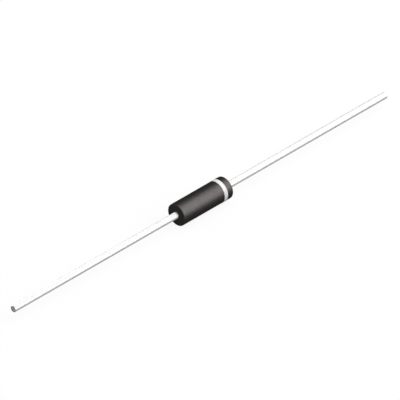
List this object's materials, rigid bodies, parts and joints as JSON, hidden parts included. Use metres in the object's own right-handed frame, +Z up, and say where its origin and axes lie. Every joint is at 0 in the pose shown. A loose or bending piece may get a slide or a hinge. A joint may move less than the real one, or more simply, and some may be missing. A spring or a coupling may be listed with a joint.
{
  "type": "zener diode",
  "caption": "Axial-lead zener diode: a black moulded cylinder with a white cathode band, and a straight tinned wire lead from each end for soldering into a circuit board.",
  "frame": {"origin": "centre of the moulded case, on its axis", "axes": "+X along the case axis towards the banded cathode end, +Z up"},
  "size_m": [0.0584, 0.0028, 0.0028],
  "materials": {
    "epoxy": "satin",
    "band_ink": "matte",
    "tinned_copper": "satin",
    "silicon": "polished",
    "solder": "satin",
    "silicone": "satin"
  },
  "bodies": {
    "root": {"epoxy_case": "epoxy", "cathode_band": "band_ink", "anode_lead": "tinned_copper", "cathode_lead": "tinned_copper", "zener_chip": "silicon", "anode_solder": "solder", "cathode_solder": "solder", "junction_coating": "silicone"}
  },
  "joints": []
}
